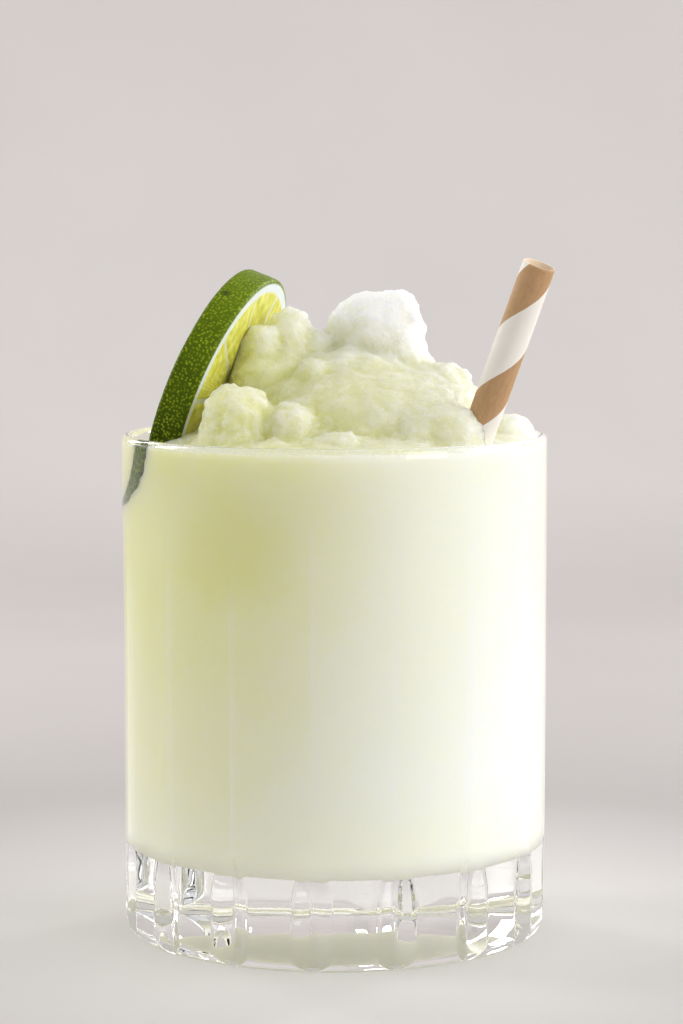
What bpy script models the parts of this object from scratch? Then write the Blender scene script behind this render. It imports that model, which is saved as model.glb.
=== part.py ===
"""A frozen gin and tonic: a cut glass tumbler filled with slush, a lime wheel and a paper straw.

The origin is the middle of the tumbler's foot, +Z is up and -Y is the front. Lengths are in metres.
Angles round the tumbler are counted from the front, positive towards +X.
"""

import math

import bmesh
import bpy
from mathutils import Matrix, Vector, noise

GAP = 0.0003  # between pieces that touch

# Tumbler
GLASS_RADIUS = 0.0425
GLASS_HEIGHT = 0.1004
FOOT_FILLET = 0.004
FOOT_RING_WIDTH = 0.0055  # the flat ring that it stands on
PUNT_DEPTH = 0.0040
FLOOR_HEIGHT = 0.0175  # top of the thick base, inside
FLOOR_FILLET = 0.0042
LIP_RADIUS = 0.00105  # half the thickness of the rounded lip
WALL_AT_FLOOR = 0.0038

# Upright V cuts round the tumbler, deep at the foot and running out below the rim
CUTS = 16
FRONT_CUT_ANGLE = math.radians(-5.8)
CUT_SLOPE = math.tan(math.radians(60))  # half width over depth
CUT_DEPTH = 0.0024
CUT_LINE_DEPTH = 0.0007
CUT_FULL_TO = 0.0135  # full depth up to here
CUT_LINE_FROM = 0.0265  # only a line from here
CUT_TOP = 0.089
CUT_LEAST_HALF_WIDTH = 0.0003
PANEL_SPANS = 3  # faces across the panel between two cuts

# Slush
SLUSH_SECTORS = 84
SLUSH_RINGS = 30
SLUSH_SIDE_STEPS = 5
SLUSH_EDGE_HEIGHT = 0.0990  # where it meets the wall
SLUSH_CROWN = 0.006  # how far its plain surface rises from the wall to the middle
DIP = (-0.035, 0.010, 0.0032)  # x and y of the hollow behind the lime wheel, and its depth
DIP_SIZE = (0.008, 0.012)
LUMP_SIDE_SLOPE = 4.0
LUMP_SQUARENESS = 2.6  # 2 would be an ellipsoid, more is blockier
LUMP_BLEND = 0.25  # how far it melts into the slush round it, in half heights
RELIEF = 0.0009
RELIEF_SIZE = 0.0062
# Each lump is a blocky ellipsoid: its centre, then its half sizes
LUMPS = {
    "peak": ((0.0083, 0.0030, 0.1190), (0.0098, 0.0085, 0.0092)),
    "peak tip": ((0.0124, 0.0020, 0.1238), (0.0046, 0.0055, 0.0049)),
    "brow": ((0.0030, -0.0045, 0.1080), (0.0125, 0.0110, 0.0092)),
    "saddle": ((-0.0036, 0.0030, 0.1160), (0.0046, 0.0065, 0.0048)),
    "left knob": ((-0.0090, 0.0010, 0.1192), (0.0044, 0.0060, 0.0056)),
    "left knob low": ((-0.0142, -0.0015, 0.1166), (0.0050, 0.0055, 0.0056)),
    "left mass": ((-0.0125, -0.0020, 0.1085), (0.0088, 0.0100, 0.0080)),
    "small knob": ((-0.0042, -0.0125, 0.1115), (0.0037, 0.0036, 0.0042)),
    "front left boulder": ((-0.0185, -0.0215, 0.1040), (0.0070, 0.0075, 0.0070)),
    "front middle boulder": ((-0.0085, -0.0245, 0.1020), (0.0054, 0.0056, 0.0058)),
    "front chip": ((0.0010, -0.0310, 0.0995), (0.0048, 0.0040, 0.0032)),
    "middle": ((0.0060, -0.0020, 0.1010), (0.0255, 0.0255, 0.0138)),
    "right shoulder": ((0.0200, -0.0020, 0.1070), (0.0078, 0.0105, 0.0074)),
    "front right mass": ((0.0168, -0.0195, 0.0985), (0.0109, 0.0095, 0.0094)),
    "by the straw": ((0.0224, -0.0225, 0.0993), (0.0066, 0.0065, 0.0080)),
    "right chip": ((0.0350, 0.0000, 0.0995), (0.0052, 0.0070, 0.0045)),
    "back left boulder": ((-0.0090, 0.0220, 0.1030), (0.0110, 0.0100, 0.0085)),
    "back right boulder": ((0.0140, 0.0230, 0.1030), (0.0120, 0.0110, 0.0090)),
    "back chip": ((0.0040, 0.0330, 0.0995), (0.0070, 0.0050, 0.0045)),
    "right back chip": ((0.0290, 0.0180, 0.0965), (0.0075, 0.0080, 0.0045)),
}

# Lime wheel
LIME_RADIUS = 0.0252
LIME_THICKNESS = 0.0063
LIME_CENTRE = Vector((-0.0237, 0.0048, 0.1087))
LIME_TURN = math.radians(74.3)  # of its cut face, from the front
LIME_LEAN = math.radians(-21.7)  # its top leans over the drink
LIME_SPIN = math.radians(9)
LIME_SEGMENTS = 10
LIME_RIND_ROUND = 0.0008
LIME_RIND_WIDTH = 0.0026  # rind and pith together
LIME_CORE = 0.0017
LIME_GROOVE = 0.0004  # how far the skins between segments lie below them
SEGMENT_STATIONS = (-0.5, -0.42, -0.18, 0.18, 0.42)  # across one segment, in segments

# Paper straw
STRAW_RADIUS = 0.0032
STRAW_WALL = 0.0004
STRAW_AT_RIM = Vector((0.0268, -0.020, 0.0985))
STRAW_DIRECTION = Vector((0.340, -0.22, 1.0)).normalized()
STRAW_ABOVE = 0.0389  # its lengths above and below that point
STRAW_BELOW = 0.078
STRAW_SIDES = 32


def clear_scene():
    for obj in list(bpy.data.objects):
        bpy.data.objects.remove(obj)


def material(name, color, roughness, transmission=0.0, ior=1.45):
    made = bpy.data.materials.new(name)
    made.use_nodes = True
    shader = made.node_tree.nodes["Principled BSDF"]
    shader.inputs["Base Color"].default_value = (*color, 1.0)
    shader.inputs["Roughness"].default_value = roughness
    shader.inputs["Metallic"].default_value = 0.0
    shader.inputs["Transmission Weight"].default_value = transmission
    shader.inputs["IOR"].default_value = ior
    return made


def smoothstep(value):
    value = min(max(value, 0.0), 1.0)
    return value * value * (3.0 - 2.0 * value)


def link_mesh(name, bm, finish, sharp_angle):
    """Makes an object of a bmesh, with its faces pointing out."""
    bmesh.ops.recalc_face_normals(bm, faces=bm.faces)
    mesh = bpy.data.meshes.new(name)
    bm.to_mesh(mesh)
    bm.free()
    mesh.shade_smooth()
    mesh.set_sharp_from_angle(angle=sharp_angle)
    mesh.materials.append(finish)
    obj = bpy.data.objects.new(name, mesh)
    bpy.context.scene.collection.objects.link(obj)
    return obj


def skin_rings(bm, rings, closed=False):
    """Quads between each ring of vertices and the next, and back to the first if closed."""
    pairs = list(zip(rings, rings[1:]))
    if closed:
        pairs.append((rings[-1], rings[0]))
    for low, high in pairs:
        for i in range(len(low)):
            j = (i + 1) % len(low)
            bm.faces.new((low[i], low[j], high[j], high[i]))


def fan(bm, ring, centre):
    middle = bm.verts.new(centre)
    for i in range(len(ring)):
        bm.faces.new((ring[i], ring[(i + 1) % len(ring)], middle))


def around(radius, angle, z):
    return Vector((radius * math.sin(angle), -radius * math.cos(angle), z))


# ---- Tumbler ----


def outer_radius(z):
    """The tumbler's outer radius before it is cut."""
    if z >= FOOT_FILLET:
        return GLASS_RADIUS
    drop = FOOT_FILLET - z
    return GLASS_RADIUS - FOOT_FILLET + math.sqrt(FOOT_FILLET**2 - drop**2)


def inner_radius(z):
    """The radius of the inside, from the floor up."""
    at_floor = GLASS_RADIUS - WALL_AT_FLOOR
    at_rim = GLASS_RADIUS - 2 * LIP_RADIUS
    share = (z - FLOOR_HEIGHT) / (GLASS_HEIGHT - LIP_RADIUS - FLOOR_HEIGHT)
    plain = at_floor + (at_rim - at_floor) * share
    drop = FLOOR_HEIGHT + FLOOR_FILLET - z
    if drop <= 0:
        return plain
    drop = min(drop, FLOOR_FILLET)
    return plain - FLOOR_FILLET + math.sqrt(FLOOR_FILLET**2 - drop**2)


def cut_depth(z):
    """How far the bottom of a V cut lies inside the plain outer radius."""
    line = CUT_LINE_DEPTH * min(1.0, max(0.0, (CUT_TOP - z) / (CUT_TOP - CUT_LINE_FROM)))
    deep = smoothstep((CUT_LINE_FROM - z) / (CUT_LINE_FROM - CUT_FULL_TO))
    return line + (CUT_DEPTH - CUT_LINE_DEPTH) * deep


def cut_ring(bm, z):
    """One ring of the outside: for each cut its edge, bottom and edge, then the panel's inner points."""
    radius = outer_radius(z)
    depth = max(0.0, radius - (GLASS_RADIUS - cut_depth(z)))
    half_angle = max(depth * CUT_SLOPE, CUT_LEAST_HALF_WIDTH) / radius
    pitch = math.tau / CUTS
    ring = []
    for k in range(CUTS):
        middle = FRONT_CUT_ANGLE + k * pitch
        ring.append(bm.verts.new(around(radius, middle - half_angle, z)))
        ring.append(bm.verts.new(around(radius - depth, middle, z)))
        for step in range(PANEL_SPANS):
            angle = middle + half_angle + step * (pitch - 2 * half_angle) / PANEL_SPANS
            ring.append(bm.verts.new(around(radius, angle, z)))
    return ring


def inner_ring(bm, radius, z):
    """A ring of the inside, with its points in line with those of the outside."""
    ring = []
    pitch = math.tau / CUTS
    half_angle = CUT_LEAST_HALF_WIDTH / GLASS_RADIUS
    for k in range(CUTS):
        middle = FRONT_CUT_ANGLE + k * pitch
        ring.append(bm.verts.new(around(radius, middle - half_angle, z)))
        ring.append(bm.verts.new(around(radius, middle, z)))
        for step in range(PANEL_SPANS):
            angle = middle + half_angle + step * (pitch - 2 * half_angle) / PANEL_SPANS
            ring.append(bm.verts.new(around(radius, angle, z)))
    return ring


def outside_heights():
    fillet = [FOOT_FILLET * (1 - math.cos(math.radians(a))) for a in (0, 18, 36, 54, 72, 90)]
    blend_steps = 5
    span = CUT_LINE_FROM - CUT_FULL_TO
    blend = [CUT_FULL_TO + span * i / blend_steps for i in range(blend_steps + 1)]
    return fillet + blend + [0.045, 0.067, CUT_TOP, GLASS_HEIGHT - LIP_RADIUS]


def lip_points():
    """(radius, height) over the rounded lip, from outside to inside."""
    middle = GLASS_RADIUS - LIP_RADIUS
    for angle in (45, 90, 135, 180):
        turn = math.radians(angle)
        yield (
            middle + LIP_RADIUS * math.cos(turn),
            GLASS_HEIGHT - LIP_RADIUS + LIP_RADIUS * math.sin(turn),
        )


def inside_points():
    """(radius, height) down the inner wall and over the fillet to the floor."""
    for z in (0.073, 0.045):
        yield inner_radius(z), z
    for angle in (0, 22, 45, 68, 90):
        z = FLOOR_HEIGHT + FLOOR_FILLET * (1 - math.sin(math.radians(angle)))
        yield inner_radius(z), z
    yield inner_radius(FLOOR_HEIGHT) / 2, FLOOR_HEIGHT


def build_tumbler():
    bm = bmesh.new()
    punt = GLASS_RADIUS - FOOT_FILLET - FOOT_RING_WIDTH
    under = [
        (punt * 0.4, PUNT_DEPTH * 0.84),
        (punt * 0.75, PUNT_DEPTH * 0.4375),
        (punt, 0.0),
    ]
    rings = [inner_ring(bm, radius, z) for radius, z in under]
    rings += [cut_ring(bm, z) for z in outside_heights()]
    rings += [inner_ring(bm, radius, z) for radius, z in lip_points()]
    rings += [inner_ring(bm, radius, z) for radius, z in inside_points()]
    skin_rings(bm, rings)
    fan(bm, rings[0], (0, 0, PUNT_DEPTH))
    fan(bm, rings[-1], (0, 0, FLOOR_HEIGHT))
    finish = material("clear_glass", (1.0, 1.0, 1.0), 0.0, transmission=1.0, ior=1.5)
    return link_mesh("tumbler", bm, finish, math.radians(22))


# ---- Slush ----


def lump_height(x, y, centre, half):
    """The top of one lump above (x, y): its dome, then a steep side."""
    spread = math.hypot((x - centre[0]) / half[0], (y - centre[1]) / half[1])
    if spread < 1.0:
        power = LUMP_SQUARENESS
        return centre[2] + half[2] * (1.0 - spread**power) ** (1.0 / power)
    return centre[2] - (spread - 1.0) * half[0] * LUMP_SIDE_SLOPE


def blend_up(a, b, blend):
    """The higher of two heights, rounded where they meet."""
    share = min(max(0.5 + (a - b) / (2 * blend), 0.0), 1.0)
    return b + (a - b) * share + blend * share * (1.0 - share)


def slush_height(x, y, edge_radius):
    spread = min(1.0, math.hypot(x, y) / edge_radius)
    height = SLUSH_EDGE_HEIGHT + SLUSH_CROWN * (1.0 - spread**2)
    away = ((x - DIP[0]) / DIP_SIZE[0]) ** 2 + ((y - DIP[1]) / DIP_SIZE[1]) ** 2
    height -= DIP[2] * math.exp(-away)
    for centre, half in LUMPS.values():
        height = blend_up(height, lump_height(x, y, centre, half), LUMP_BLEND * half[2])
    place = Vector((x, y, height)) / RELIEF_SIZE
    bumps = noise.fractal(place, 1.0, 2.0, 3, noise_basis="PERLIN_ORIGINAL")
    return height + RELIEF * bumps * (1.0 - 0.7 * spread**4)


def build_slush():
    bm = bmesh.new()
    edge_radius = inner_radius(SLUSH_EDGE_HEIGHT) - GAP
    angles = [math.tau * i / SLUSH_SECTORS for i in range(SLUSH_SECTORS)]
    bottom = FLOOR_HEIGHT + GAP
    rings = [[bm.verts.new(around((inner_radius(bottom) - GAP) / 2, a, bottom)) for a in angles]]
    for drop in (0.0, 0.25, 0.6, 1.0):
        z = bottom + FLOOR_FILLET * drop
        rings.append([bm.verts.new(around(inner_radius(z) - GAP, a, z)) for a in angles])
    top = []
    for step in range(SLUSH_RINGS):
        radius = edge_radius * (1.0 - step / SLUSH_RINGS)
        ring = []
        for angle in angles:
            point = around(radius, angle, 0.0)
            point.z = slush_height(point.x, point.y, edge_radius)
            ring.append(bm.verts.new(point))
        top.append(ring)
    start = bottom + FLOOR_FILLET
    for step in range(1, SLUSH_SIDE_STEPS):
        ring = []
        for angle, above in zip(angles, top[0]):
            z = start + (above.co.z - start) * step / SLUSH_SIDE_STEPS
            ring.append(bm.verts.new(around(inner_radius(z) - GAP, angle, z)))
        rings.append(ring)
    rings += top
    skin_rings(bm, rings)
    fan(bm, rings[0], (0, 0, bottom))
    fan(bm, rings[-1], (0, 0, slush_height(0, 0, edge_radius)))
    finish = material("lime_slush", (0.86, 0.88, 0.66), 0.45)
    return link_mesh("slush", bm, finish, math.radians(60))


def cut_round(target, cutter):
    """Leaves room in target for a piece that stands in it."""
    cutter.hide_render = True
    cutter.display_type = "WIRE"
    modifier = target.modifiers.new("room_for_" + cutter.name, "BOOLEAN")
    modifier.operation = "DIFFERENCE"
    modifier.solver = "EXACT"
    modifier.object = cutter


# ---- Lime wheel ----


def lime_matrix():
    """The wheel's own +Z is the cut face's direction, and its centre is the origin."""
    face = Vector((
        math.cos(LIME_LEAN) * math.sin(LIME_TURN),
        -math.cos(LIME_LEAN) * math.cos(LIME_TURN),
        math.sin(LIME_LEAN),
    ))
    turned = face.to_track_quat("Z", "Y").to_matrix().to_4x4()
    return Matrix.Translation(LIME_CENTRE) @ turned @ Matrix.Rotation(LIME_SPIN, 4, "Z")


def segment_angles():
    for k in range(LIME_SEGMENTS):
        for station in SEGMENT_STATIONS:
            yield math.tau * (k + 0.5 + station) / LIME_SEGMENTS, abs(station) == 0.5


def lime_face_profile():
    """(radius, depth of the skins below the flesh) from the rind in to the core."""
    flesh = LIME_RADIUS - LIME_RIND_WIDTH
    return (
        (LIME_RADIUS - LIME_RIND_ROUND, 0.0),
        (flesh, 0.1),
        (flesh - 0.0012, 1.0),
        (flesh * 0.62, 1.0),
        (LIME_CORE + 0.0025, 1.0),
        (LIME_CORE, 0.6),
    )


def lime_face(bm, side):
    """One cut face, as rings from the rind in. The flesh stands proud between the skins."""
    rings = []
    flesh = LIME_RADIUS - LIME_RIND_WIDTH
    for radius, groove in lime_face_profile():
        ring = []
        for angle, on_skin in segment_angles():
            inside = radius < flesh - 0.0001
            depth = LIME_GROOVE * groove if on_skin or not inside else -0.00015
            z = side * (LIME_THICKNESS / 2 - depth)
            ring.append(bm.verts.new((radius * math.cos(angle), radius * math.sin(angle), z)))
        rings.append(ring)
    return rings


def build_lime():
    bm = bmesh.new()
    top, bottom = lime_face(bm, 1), lime_face(bm, -1)
    edge = []
    for share in (-1.0, -0.35, 0.35, 1.0):
        height = share * (LIME_THICKNESS / 2 - LIME_RIND_ROUND)
        radius = LIME_RADIUS - 0.0001 * abs(share)
        edge.append([
            bm.verts.new((radius * math.cos(a), radius * math.sin(a), height))
            for a, _ in segment_angles()
        ])
    skin_rings(bm, bottom[::-1] + edge + top)
    core_depth = LIME_THICKNESS / 2 - LIME_GROOVE
    fan(bm, bottom[-1], (0, 0, -core_depth))
    fan(bm, top[-1], (0, 0, core_depth))
    finish = material("lime", (0.28, 0.50, 0.06), 0.4)
    lime = link_mesh("lime_wheel", bm, finish, math.radians(40))
    lime.matrix_world = lime_matrix()
    return lime


def build_lime_room():
    bm = bmesh.new()
    bmesh.ops.create_cone(
        bm,
        cap_ends=True,
        segments=64,
        radius1=LIME_RADIUS + 2 * GAP,
        radius2=LIME_RADIUS + 2 * GAP,
        depth=LIME_THICKNESS + 3 * GAP,
    )
    room = link_mesh("lime_room", bm, bpy.data.materials["lime"], math.radians(40))
    room.matrix_world = lime_matrix()
    return room


# ---- Straw ----


def straw_matrix():
    """The straw's own +Z runs up along it, from the point where it passes the rim."""
    turned = STRAW_DIRECTION.to_track_quat("Z", "Y").to_matrix().to_4x4()
    return Matrix.Translation(STRAW_AT_RIM) @ turned


def circle(bm, radius, z):
    return [
        bm.verts.new((radius * math.cos(a), radius * math.sin(a), z))
        for a in (math.tau * i / STRAW_SIDES for i in range(STRAW_SIDES))
    ]


def build_straw():
    bm = bmesh.new()
    inner = STRAW_RADIUS - STRAW_WALL
    rings = [
        circle(bm, STRAW_RADIUS, -STRAW_BELOW),
        circle(bm, STRAW_RADIUS, 0.0),
        circle(bm, STRAW_RADIUS, STRAW_ABOVE),
        circle(bm, inner, STRAW_ABOVE),
        circle(bm, inner, 0.0),
        circle(bm, inner, -STRAW_BELOW),
    ]
    skin_rings(bm, rings, closed=True)
    finish = material("striped_paper", (0.62, 0.42, 0.22), 0.7)
    straw = link_mesh("straw", bm, finish, math.radians(40))
    straw.matrix_world = straw_matrix()
    return straw


def build_straw_room():
    bm = bmesh.new()
    low, high = -STRAW_BELOW - GAP, STRAW_ABOVE + 0.01
    bmesh.ops.create_cone(
        bm,
        cap_ends=True,
        segments=STRAW_SIDES,
        radius1=STRAW_RADIUS + GAP,
        radius2=STRAW_RADIUS + GAP,
        depth=high - low,
        matrix=Matrix.Translation((0, 0, (low + high) / 2)),
    )
    room = link_mesh("straw_room", bm, bpy.data.materials["striped_paper"], math.radians(40))
    room.matrix_world = straw_matrix()
    return room


def main():
    clear_scene()
    build_tumbler()
    slush = build_slush()
    build_lime()
    build_straw()
    cut_round(slush, build_lime_room())
    cut_round(slush, build_straw_room())


main()
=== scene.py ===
"""Looks of the frozen gin and tonic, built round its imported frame. Metres, +Z up, -Y the front."""

import math
import random

import bmesh
import bpy
import numpy as np
from mathutils import Matrix, Vector, noise


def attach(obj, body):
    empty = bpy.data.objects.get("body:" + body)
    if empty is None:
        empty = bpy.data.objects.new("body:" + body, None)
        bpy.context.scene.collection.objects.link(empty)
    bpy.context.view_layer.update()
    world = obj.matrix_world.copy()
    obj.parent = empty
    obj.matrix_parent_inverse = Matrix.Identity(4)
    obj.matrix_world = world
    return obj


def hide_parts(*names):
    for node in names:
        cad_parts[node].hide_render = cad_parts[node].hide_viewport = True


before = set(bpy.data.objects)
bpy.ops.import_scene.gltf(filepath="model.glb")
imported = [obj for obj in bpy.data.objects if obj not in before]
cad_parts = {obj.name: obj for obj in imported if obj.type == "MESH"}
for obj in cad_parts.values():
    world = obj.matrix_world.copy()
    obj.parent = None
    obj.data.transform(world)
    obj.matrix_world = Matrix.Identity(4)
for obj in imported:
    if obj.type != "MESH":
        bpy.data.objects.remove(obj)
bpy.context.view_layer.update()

# ---- Sizes, the same as in the source ----

GLASS_RADIUS = 0.0425
GLASS_HEIGHT = 0.1004
FOOT_FILLET = 0.004
FOOT_RING_WIDTH = 0.0055
PUNT_DEPTH = 0.0040
FLOOR_HEIGHT = 0.0175
FLOOR_FILLET = 0.0042
LIP_RADIUS = 0.00105
WALL_AT_FLOOR = 0.0038

CUTS = 16
FRONT_CUT_ANGLE = math.radians(-5.8)
CUT_SLOPE = math.tan(math.radians(60))
CUT_DEPTH = 0.0024
CUT_LINE_DEPTH = 0.0007
CUT_FULL_TO = 0.0135
CUT_LINE_FROM = 0.0265
CUT_TOP = 0.089
PANEL_FLATNESS = 0.3

SLUSH_EDGE_HEIGHT = 0.0990
SLUSH_CROWN = 0.006
DIP = (-0.035, 0.010, 0.0032)
DIP_SIZE = (0.008, 0.012)
LUMP_SIDE_SLOPE = 4.0
LUMP_SQUARENESS = 2.6
LUMP_BLEND = 0.25
# Each lump: centre, half sizes, how icy and white it is, with painted shade that keeps it low on the front
# left boulder and the knobs, how crumbly
LUMPS = {
    "peak": ((0.0083, 0.0030, 0.1190), (0.0098, 0.0085, 0.0092), 1.0, 0.8),
    "peak tip": ((0.0124, 0.0020, 0.1238), (0.0046, 0.0055, 0.0049), 1.0, 0.7),
    "brow": ((0.0030, -0.0045, 0.1080), (0.0125, 0.0110, 0.0092), 0.35, 0.3),
    "saddle": ((-0.0036, 0.0030, 0.1160), (0.0046, 0.0065, 0.0048), 0.6, 0.4),
    "left knob": ((-0.0090, 0.0010, 0.1192), (0.0044, 0.0060, 0.0056), 0.45, 0.6),
    "left knob low": ((-0.0142, -0.0015, 0.1166), (0.0050, 0.0055, 0.0056), 0.36, 0.5),
    "left mass": ((-0.0125, -0.0020, 0.1085), (0.0088, 0.0100, 0.0080), 0.1, 0.2),
    "small knob": ((-0.0042, -0.0125, 0.1115), (0.0037, 0.0036, 0.0042), 0.4, 0.4),
    "front left boulder": ((-0.0185, -0.0215, 0.1040), (0.0070, 0.0075, 0.0070), 0.18, 0.9),
    "front middle boulder": ((-0.0085, -0.0245, 0.1020), (0.0054, 0.0056, 0.0058), 0.36, 1.4),
    "front chip": ((0.0010, -0.0310, 0.0995), (0.0048, 0.0040, 0.0032), 0.4, 0.7),
    "middle": ((0.0060, -0.0020, 0.1010), (0.0255, 0.0255, 0.0138), 0.1, 0.25),
    "right shoulder": ((0.0200, -0.0020, 0.1070), (0.0078, 0.0105, 0.0074), 0.32, 0.5),
    "front right mass": ((0.0168, -0.0195, 0.0985), (0.0109, 0.0095, 0.0094), 0.3, 0.4),
    "by the straw": ((0.0224, -0.0225, 0.0993), (0.0066, 0.0065, 0.0080), 0.35, 0.5),
    "right chip": ((0.0350, 0.0000, 0.0995), (0.0052, 0.0070, 0.0045), 0.7, 0.8),
    "back left boulder": ((-0.0090, 0.0220, 0.1030), (0.0110, 0.0100, 0.0085), 0.6, 0.8),
    "back right boulder": ((0.0140, 0.0230, 0.1030), (0.0120, 0.0110, 0.0090), 0.7, 0.8),
    "back chip": ((0.0040, 0.0330, 0.0995), (0.0070, 0.0050, 0.0045), 0.7, 0.7),
    "right back chip": ((0.0290, 0.0180, 0.0965), (0.0075, 0.0080, 0.0045), 0.7, 0.7),
}

LIME_RADIUS = 0.0252
LIME_THICKNESS = 0.0063
LIME_CENTRE = Vector((-0.0237, 0.0048, 0.1087))
LIME_TURN = math.radians(74.3)
LIME_LEAN = math.radians(-21.7)
LIME_SPIN = math.radians(9)
LIME_SEGMENTS = 10

STRAW_RADIUS = 0.0032
STRAW_WALL = 0.0004
STRAW_AT_RIM = Vector((0.0268, -0.020, 0.0985))
STRAW_DIRECTION = Vector((0.340, -0.22, 1.0)).normalized()
STRAW_ABOVE = 0.0389
STRAW_BELOW = 0.078

# ---- Sizes of the looks alone ----

PLAIN_WALL_FROM = CUT_TOP + 0.004  # above this the wall is plain and round
LEAST_HALF_CUT = 0.0004  # keeps the points of a cut apart where it has run out
EDGE_WEAR = 0.00024  # rounding of a cut's edges and of its bottom
# Points across one cut, in half widths, then how many points the panel beside it has
CUT_STATIONS = (-1.12, -1.04, -1.0, -0.96, -0.85, -0.6, -0.3, -0.16, -0.08, -0.035, 0.0,
                0.035, 0.08, 0.16, 0.3, 0.6, 0.85, 0.96, 1.0, 1.04, 1.12)
PANEL_POINTS = 7

INTO_WALL = 0.00015  # how far the slush reaches into the wall, so that no air shows
SLUSH_VOXEL = 0.00056
SLUSH_TRIANGLES = 185000
GRAIN_SIZES = (0.0009, 0.0012, 0.0015, 0.0020)
GRAIN_DENSITY = 0.24  # grains per square mm of a lump's half sizes, where it is all crumbs
GRAIN_SEAT = 0.9  # where grains sit, as a share of a lump's half sizes
PLAIN_ICE, PLAIN_CRUMB, PLAIN_WEIGHT = 0.25, 0.5, 0.08  # the slush away from all lumps
LUMP_FALLOFF = 2.8  # how fast a lump's own tone fades outside it
IN_GLASS_ICE = 0.3
# How much the crests are painted whiter and the hollows yellower, as painted light and shade
PAINTED_CREST_LIGHT = 0.15
DEEP_YELLOW_PATCH = (-0.0175, -0.035, 0.0815)  # where the slush turns a deeper yellow, low at the front left

# The rind is drawn out to the wall it leans on: from how deep, how far back and how low
PRESSED_FROM = 0.0085
PRESSED_TO = 0.01
PRESSED_LOW = 0.0846
OPENING_DEPTH = 0.0014  # how far the slush is drawn back from the wall there

LIME_PEEL = 0.0008  # green skin, seen on the cut face
LIME_PITH = 0.0019
LIME_CORE = 0.0016  # radius of the pale middle
LIME_FLESH = LIME_RADIUS - LIME_PEEL - LIME_PITH  # radius of the flesh
LIME_EDGE_ROUND = 0.0008
SCAR = (-0.0105, 0.0229, -0.0012)  # a blemish of the rind, in the wheel's own axes

STRIPE_PITCH = 0.0243
STRIPE_FIRST = 0.0085  # from the top down to where the first white starts, at the front
STRIPE_WHITE = 0.0133  # how much of each pitch is white
STRAW_SEAM = 0.00004  # step where the wound paper overlaps

FLOOR_BACK, WALL_BACK = 0.55, 0.95  # where the stage's floor starts to bend, and its wall
STAGE_FRONT, STAGE_HALF_WIDTH, STAGE_HEIGHT = -1.6, 2.0, 1.6

LIGHTS_AIM = Vector((0.0, 0.0, 0.08))
# Each area light: place, width and height, watts, spread in degrees
LIGHTS = {
    "window": ((1.1, 0.1, 0.5), (1.0, 0.9), 2.8, 110),
    "front_right_softbox": ((0.84, -0.71, 0.45), (0.5, 0.8), 1.5, 110),
    "left_strip": ((-1.0, 0.22, 0.5), (0.32, 0.7), 2.15, 120),
    "back_left_strip": ((-0.42, 0.52, 0.34), (0.1, 0.36), 0.4, 100),
    "back_right_strip": ((0.46, 0.5, 0.34), (0.09, 0.36), 0.4, 100),
}
CAMERA_PLACE = (0.001423, -0.63045, 0.1458)
CAMERA_DOWN = 9.687e-2  # radians below level
CAMERA_LENS = 111.08


# ---- Helpers ----


def srgb(red, green, blue):
    """Linear colour of an 8-bit screen colour."""
    out = []
    for value in (red, green, blue):
        value /= 255
        out.append(value / 12.92 if value <= 0.04045 else ((value + 0.055) / 1.055) ** 2.4)
    return (*out, 1.0)


def smoothstep(value):
    value = min(max(value, 0.0), 1.0)
    return value * value * (3.0 - 2.0 * value)


def around(radius, angle, z):
    """A point round the tumbler's axis, with the angle counted from the front to the right."""
    return Vector((radius * math.sin(angle), -radius * math.cos(angle), z))


def even_angles(count):
    return [math.tau * i / count for i in range(count)]


def quarter_turns(steps):
    """Angles from nothing to a quarter turn, in equal steps."""
    return [math.pi / 2 * i / steps for i in range(steps + 1)]


def circle(radius, z, angles):
    """A ring of points round a piece's own axis."""
    return [Vector((radius * math.cos(a), radius * math.sin(a), z)) for a in angles]


def new_object(name, mesh):
    obj = bpy.data.objects.new(name, mesh)
    bpy.context.scene.collection.objects.link(obj)
    return obj


def object_of_rings(name, rings, closed=False, low=None, high=None):
    """A mesh of equal rings of points, closed at the ends by fans to the points low and high."""
    count = len(rings[0])
    points = [p for ring in rings for p in ring]
    faces = []
    pairs = [(i, i + 1) for i in range(len(rings) - 1)]
    if closed:
        pairs.append((len(rings) - 1, 0))
    for a, b in pairs:
        for i in range(count):
            j = (i + 1) % count
            faces.append((a * count + i, a * count + j, b * count + j, b * count + i))
    if low is not None:
        points.append(low)
        faces += [((i + 1) % count, i, len(points) - 1) for i in range(count)]
    if high is not None:
        start = (len(rings) - 1) * count
        points.append(high)
        faces += [(start + i, start + (i + 1) % count, len(points) - 1) for i in range(count)]
    mesh = bpy.data.meshes.new(name)
    mesh.from_pydata([tuple(p) for p in points], [], faces)
    mesh.validate()
    bm = bmesh.new()
    bm.from_mesh(mesh)
    bmesh.ops.recalc_face_normals(bm, faces=bm.faces)
    bm.to_mesh(mesh)
    bm.free()
    mesh.shade_smooth()
    return new_object(name, mesh)


def after_modifier(obj, kind, **settings):
    """The mesh that one modifier makes of an object. The object itself is removed."""
    modifier = obj.modifiers.new("shaping", kind)
    for key, value in settings.items():
        setattr(modifier, key, value)
    graph = bpy.context.evaluated_depsgraph_get()
    mesh = bpy.data.meshes.new_from_object(obj.evaluated_get(graph), depsgraph=graph)
    bpy.data.objects.remove(obj)
    return mesh


def joined(first, second):
    """One object of two objects' meshes. Both objects are removed."""
    bm = bmesh.new()
    for obj in (first, second):
        bm.from_mesh(obj.data)
    mesh = bpy.data.meshes.new("joined")
    bm.to_mesh(mesh)
    bm.free()
    bpy.data.objects.remove(first)
    bpy.data.objects.remove(second)
    return new_object("joined", mesh)


def vectors_of(collection, name):
    """A vector property of each element, as the rows of an array."""
    flat = np.empty(len(collection) * 3, dtype=np.float32)
    collection.foreach_get(name, flat)
    return flat.reshape(-1, 3)


def points_of(mesh):
    return vectors_of(mesh.vertices, "co").astype(np.float64)


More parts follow.
